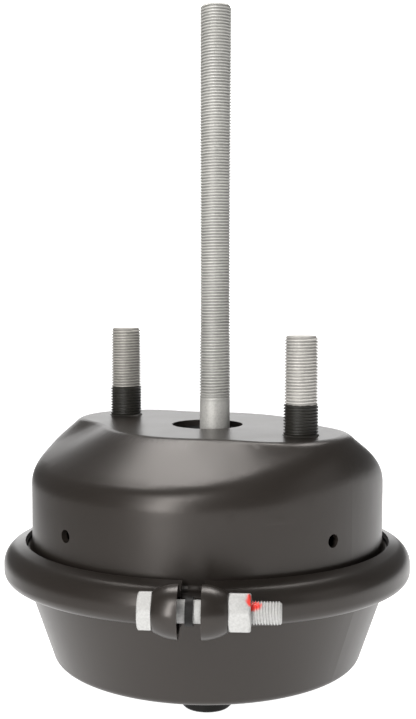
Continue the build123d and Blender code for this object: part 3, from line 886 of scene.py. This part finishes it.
# %% Materials on the solids
slot_materials = {
    "housing_paint": housing_paint,
    "band_paint": band_paint,
    "zinc_stud": zinc_stud,
    "zinc_fastener": zinc_fastener,
    "bare_steel": bare_steel,
    "spring_steel": spring_steel,
    "diaphragm_rubber": diaphragm_rubber,
    "seal_rubber": seal_rubber,
    "black_plastic": black_plastic,
}
for part in frame["record"]["subparts"]:
    solid = nodes[part["node"]]
    solid.data.materials.clear()
    solid.data.materials.append(slot_materials[part["material_slot"]])
for piece in [push_rod, spring, diaphragm, clamp_band]:
    piece.data.materials.append(slot_materials[piece["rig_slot"]])
for piece, stud_finish in zip(studs, stud_finishes):
    piece.data.materials.append(stud_finish)
for piece in [clamp_bolt, clamp_nut]:
    piece.data.materials.append(bolt_finish)
print("finishes", sorted(material.name for material in bpy.data.materials))

# %% [markdown]
# The studio. The black paint is satin, so most of what is seen on it is reflection: the plain top
# mirrors a white backdrop, the bowl a white floor, and the left wall the dark side of the room.
# So the floor is a surface that glows white where the picture shows it and to the right, and
# its glow fades towards the left, just outside the picture. A low backdrop stands far behind.
# A camera sees both as plain white from every side, and only reflections see the glow fade.

# %% Studio directions
view_azimuth = math.radians(41.394)
toward = np.array([math.sin(view_azimuth), -math.cos(view_azimuth)])
rightward = np.array([math.cos(view_azimuth), math.sin(view_azimuth)])


def studio_place(forward, right, up):
    """Points given from the chamber towards the camera, to the camera's right, and up."""
    forward, right, up = np.broadcast_arrays(forward, right, up)
    level = forward[..., None] * toward + right[..., None] * rightward
    return np.concatenate([level, up[..., None]], axis=-1)


def glowing_paint(name):
    """White paint: the camera sees plain white, reflections see the mesh's attribute called glow."""
    material = bpy.data.materials.new(name)
    material.use_nodes = True
    shader = material.node_tree.nodes["Principled BSDF"]
    glow = add(material.node_tree, "Attribute", {"attribute_name": "glow"})
    seen = add(material.node_tree, "LightPath").outputs["Is Camera Ray"]
    shown = add(material.node_tree, "Math", {"operation": "MAXIMUM"}, _0=glow.outputs["Fac"], _1=seen)
    shader.inputs["Base Color"].default_value = (0.5, 0.5, 0.5, 1)
    shader.inputs["Roughness"].default_value = 0.9
    shader.inputs["Specular IOR Level"].default_value = 0.0
    shader.inputs["Emission Color"].default_value = (1, 1, 1, 1)
    material.node_tree.links.new(shown.outputs[0], shader.inputs["Emission Strength"])
    return material


# %% Floor
floor_rows = 71
floor_forward = np.linspace(3.0, -4.0, floor_rows)[:, None]
floor_right = np.linspace(-3.5, 3.5, floor_rows)[None, :]
camera_forward = 0.57
edge_near, edge_slope = -0.03, 0.24
fade_width = 0.22
white_glow, glow_lost = 1.02, 0.92
shown_edge = edge_near - edge_slope * np.maximum(camera_forward - floor_forward, 0)
left_of_picture = np.clip((shown_edge - floor_right) / fade_width, 0, 1)
floor_glow = white_glow - glow_lost * left_of_picture ** 2 * (3 - 2 * left_of_picture)
floor = piece_from(
    "studio_floor", studio_place(floor_forward, floor_right, floor_height),
    grid_faces(floor_rows, floor_rows), {"glow": floor_glow}, sharp=180,
)

# %% Backdrop
backdrop_rows = 5
backdrop_forward = -3.9
backdrop_right = np.linspace(-1.6, 1.3, backdrop_rows)[None, :]
backdrop_up = np.linspace(-0.3, 1.5, backdrop_rows)[:, None]
backdrop_glow = np.full((backdrop_rows, backdrop_rows), 1.8)
backdrop = piece_from(
    "studio_backdrop", studio_place(backdrop_forward, backdrop_right, backdrop_up),
    grid_faces(backdrop_rows, backdrop_rows), {"glow": backdrop_glow}, sharp=180,
)
studio_white = glowing_paint("studio_white")
for screen in (floor, backdrop):
    screen.data.materials.append(studio_white)

# %% [markdown]
# The lights are four soft area lights. One hangs behind and above, a tall strip stands in front on
# the left, a box hangs in front and above, and a large faint one stands on the right. Each was
# placed so that its reflection falls where the photograph shows a bright streak or a soft fill.
# The world is faint, but shows the camera the same white as the floor.

# %% Lights


def soft_light(name, place, target, size, brightness, colour=(1.0, 0.985, 0.97)):
    """A rectangular area light at a place, turned to a target; its power is pi x brightness x area."""
    lamp = bpy.data.lights.new(name, "AREA")
    lamp.shape = "RECTANGLE"
    lamp.size, lamp.size_y = size
    lamp.energy = math.pi * brightness * size[0] * size[1]
    lamp.color = colour
    holder = bpy.data.objects.new(name, lamp)
    bpy.context.scene.collection.objects.link(holder)
    holder.location = Vector(place)
    holder.rotation_euler = (Vector(target) - Vector(place)).to_track_quat("-Z", "Y").to_euler()
    print(name, round(lamp.energy, 2), "W")


soft_light(
    "high_back_box", studio_place(-0.41, 0.02, 0.95), (0, 0, 0), (0.92, 0.40), 8.6,
    (1.0, 0.975, 0.955),
)
soft_light("front_strip", studio_place(0.88, -0.45, 0.42), (0, 0, 0.42), (0.17, 1.12), 18.0)
soft_light("front_top_box", studio_place(0.72, -0.36, 0.85), (0, 0, 0), (0.50, 0.35), 4.5)
soft_light("right_fill", studio_place(0.5, 1.3, 0.4), (0, 0, -0.03), (0.9, 0.9), 0.5)

# %% World
room_glow = 0.17
world = bpy.data.worlds.new("studio")
world.use_nodes = True
room = world.node_tree.nodes["Background"]
seen = add(world.node_tree, "LightPath")
room_tone = add(world.node_tree, "MapRange", Value=seen.outputs["Is Camera Ray"])
room_tone.inputs["To Min"].default_value = room_glow
room_tone.inputs["To Max"].default_value = white_glow
world.node_tree.links.new(room_tone.outputs[0], room.inputs["Strength"])
room.inputs["Color"].default_value = (1, 1, 1, 1)
bpy.context.scene.world = world
bpy.context.scene.view_settings.view_transform = "Standard"

# %% [markdown]
# The camera was solved from the photograph's edges of studs, rod, rod hole and round wall. Its
# place is given in millimetres, and its focal length in pixels of a picture 719 pixels high.

# %% Camera
camera_place = Vector((377.24, -427.98, 76.15)) * MM
camera_pitch = math.radians(4.249)
camera_yaw = math.radians(-0.018)
camera_roll = math.radians(0.134)
focal_pixels = 1101.36
picture_height = 719
turn = view_azimuth + camera_yaw
level_reach = math.cos(camera_pitch)
ahead_camera = Vector(
    (-math.sin(turn) * level_reach, math.cos(turn) * level_reach, -math.sin(camera_pitch))
)
level_right = ahead_camera.cross(Vector((0, 0, 1))).normalized()
level_up = level_right.cross(ahead_camera)
right = math.cos(camera_roll) * level_right + math.sin(camera_roll) * level_up
up = -math.sin(camera_roll) * level_right + math.cos(camera_roll) * level_up
lens = bpy.data.cameras.new("photo_camera")
lens.sensor_width = 36.0
lens.lens = lens.sensor_width * focal_pixels / picture_height
lens.clip_start, lens.clip_end = 0.01, 20.0
camera = bpy.data.objects.new("photo_camera", lens)
bpy.context.scene.collection.objects.link(camera)
rotation = Matrix((right, up, -ahead_camera)).transposed()
camera.matrix_world = Matrix.Translation(camera_place) @ rotation.to_4x4()
bpy.context.scene.camera = camera
print("camera", round(camera_place.length, 3), "m from the mounting face, lens", round(lens.lens, 1), "mm")
